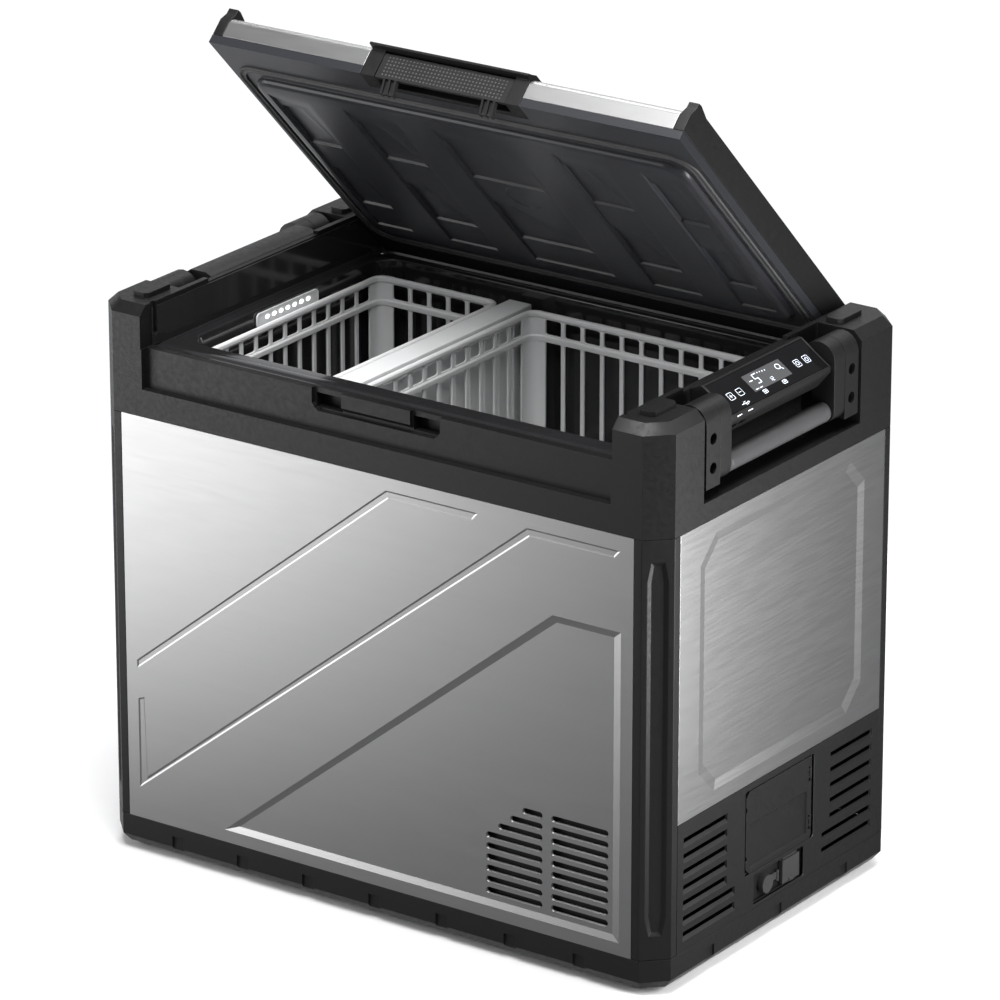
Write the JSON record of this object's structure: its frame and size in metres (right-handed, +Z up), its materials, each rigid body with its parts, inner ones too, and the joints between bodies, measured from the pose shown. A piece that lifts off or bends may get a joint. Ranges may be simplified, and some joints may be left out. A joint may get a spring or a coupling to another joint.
{
  "type": "compressor cooler fridge",
  "caption": "Steel-clad portable compressor fridge with a stepped tub, baskets, a hinged latching lid, swinging carry handles, a control console and a machine bay.",
  "frame": {"origin": "on the floor, under the middle of the body", "axes": "+Z up, front (latch side) towards -Y, control console on the +X side"},
  "size_m": [0.69, 0.435, 0.8751],
  "materials": {
    "body_plastic": "charcoal black, fine moulded texture",
    "brushed_steel_skin": "satin silver sheet",
    "gloss_liner": "glossy black",
    "console_gloss": "glossy black panel",
    "basket_plastic": "light grey moulded",
    "lamp": "frosted lens",
    "rubber": "matt black",
    "gasket": "soft dark grey seal",
    "foam": "expanded insulating foam",
    "aluminium": "mill",
    "pin_steel": "turned",
    "black_enamel": "black enamel",
    "copper": "drawn copper tube",
    "board": "green circuit board"
  },
  "bodies": {
    "cabinet": {"base_tray": "body_plastic", "foot_front_left": "rubber", "foot_front_right": "rubber", "foot_rear_left": "rubber", "foot_rear_right": "rubber", "front_panel": "brushed_steel_skin", "rear_panel": "body_plastic", "left_side_panel": "brushed_steel_skin", "right_side_panel": "brushed_steel_skin", "corner_post_front_left": "body_plastic", "corner_post_front_right": "body_plastic", "corner_post_rear_left": "body_plastic", "corner_post_rear_right": "body_plastic", "side_vent_panel": "body_plastic", "upper_frame": "body_plastic", "tub_liner": "gloss_liner", "foam_core": "foam", "evaporator": "aluminium", "lamp_lens": "lamp", "socket_block": "body_plastic", "console_housing": "body_plastic", "display_glass": "console_gloss", "usb_ports": "body_plastic", "handle_bracket_left_front": "body_plastic", "handle_bracket_left_rear": "body_plastic", "handle_bracket_right_front": "body_plastic", "handle_bracket_right_rear": "body_plastic", "hinge_pin_left": "pin_steel", "hinge_pin_right": "pin_steel", "compressor": "black_enamel", "condenser": "aluminium", "fan_shroud": "body_plastic", "refrigerant_line": "copper", "control_board": "board"},
    "lid": {"lid_cap_left": "body_plastic", "lid_cap_right": "body_plastic", "lid_cover": "brushed_steel_skin", "lid_liner": "gloss_liner", "lid_gasket": "gasket", "lid_foam": "foam", "latch_housing": "body_plastic", "latch_pin": "pin_steel"},
    "latch": {"latch_paddle": "body_plastic"},
    "handle_left": {"handle_arm_left_front": "body_plastic", "handle_arm_left_rear": "body_plastic", "handle_bar_left": "body_plastic"},
    "handle_right": {"handle_arm_right_front": "body_plastic", "handle_arm_right_rear": "body_plastic", "handle_bar_right": "body_plastic"},
    "battery_door": {"battery_door": "body_plastic"},
    "dc_socket_cover": {"dc_socket_cover": "rubber"},
    "inlet_cover": {"inlet_cover": "rubber"},
    "basket_left": {"basket_left": "basket_plastic"},
    "basket_right": {"basket_right": "basket_plastic"},
    "divider": {"divider": "basket_plastic"},
    "key_up": {"key_up": "console_gloss"},
    "key_down": {"key_down": "console_gloss"},
    "key_mode": {"key_mode": "console_gloss"},
    "key_power": {"key_power": "console_gloss"},
    "fan_rotor": {"fan_rotor": "body_plastic"}
  },
  "joints": [
    {"name": "lid_hinge", "type": "hinge", "parent": "cabinet", "child": "lid", "pos_m": [0, 0.1931, 0.5627], "axis": [-1, 0, 0], "range_deg": [-45.3, 45]},
    {"name": "latch_pivot", "type": "hinge", "parent": "lid", "child": "latch", "pos_m": [0, -0.08112, 0.86042], "axis": [-1, 0, 0], "range_deg": [0, 25], "stiffness_Nm_per_rad": 0.4},
    {"name": "handle_right_swing", "type": "hinge", "parent": "cabinet", "child": "handle_right", "pos_m": [0.325, 0, 0.5777], "axis": [0, -1, 0], "range_deg": [0, 95]},
    {"name": "handle_left_swing", "type": "hinge", "parent": "cabinet", "child": "handle_left", "pos_m": [-0.325, 0, 0.5777], "axis": [0, 1, 0], "range_deg": [0, 95]},
    {"name": "battery_door_hinge", "type": "hinge", "parent": "cabinet", "child": "battery_door", "pos_m": [0.3425, 0.0597, 0.124], "axis": [0, 0, 1], "range_deg": [0, 90]},
    {"name": "dc_cover_hinge", "type": "hinge", "parent": "cabinet", "child": "dc_socket_cover", "pos_m": [0.3398, 0.005, 0.0555], "axis": [0, 0, 1], "range_deg": [0, 90]},
    {"name": "inlet_cover_hinge", "type": "hinge", "parent": "cabinet", "child": "inlet_cover", "pos_m": [0.3398, 0.0255, 0.0705], "axis": [0, -1, 0], "range_deg": [0, 90]},
    {"name": "basket_left_lift", "type": "slide", "parent": "cabinet", "child": "basket_left", "axis": [0, 0, 1], "range_m": [0, 0.03]},
    {"name": "basket_right_lift", "type": "slide", "parent": "cabinet", "child": "basket_right", "axis": [0, 0, 1], "range_m": [0, 0.03]},
    {"name": "divider_lift", "type": "slide", "parent": "cabinet", "child": "divider", "axis": [0, 0, 1], "range_m": [0, 0.03]},
    {"name": "key_up_press", "type": "slide", "parent": "cabinet", "child": "key_up", "axis": [-0.5641, 0, -0.8257], "range_m": [0, 0.0008], "stiffness_N_per_m": 400},
    {"name": "key_down_press", "type": "slide", "parent": "cabinet", "child": "key_down", "axis": [-0.5641, 0, -0.8257], "range_m": [0, 0.0008], "stiffness_N_per_m": 400},
    {"name": "key_mode_press", "type": "slide", "parent": "cabinet", "child": "key_mode", "axis": [-0.5641, 0, -0.8257], "range_m": [0, 0.0008], "stiffness_N_per_m": 400},
    {"name": "key_power_press", "type": "slide", "parent": "cabinet", "child": "key_power", "axis": [-0.5641, 0, -0.8257], "range_m": [0, 0.0008], "stiffness_N_per_m": 400},
    {"name": "fan_spin", "type": "hinge", "parent": "cabinet", "child": "fan_rotor", "pos_m": [0.21, -0.145, 0.125], "axis": [0, 1, 0], "continuous": true}
  ]
}
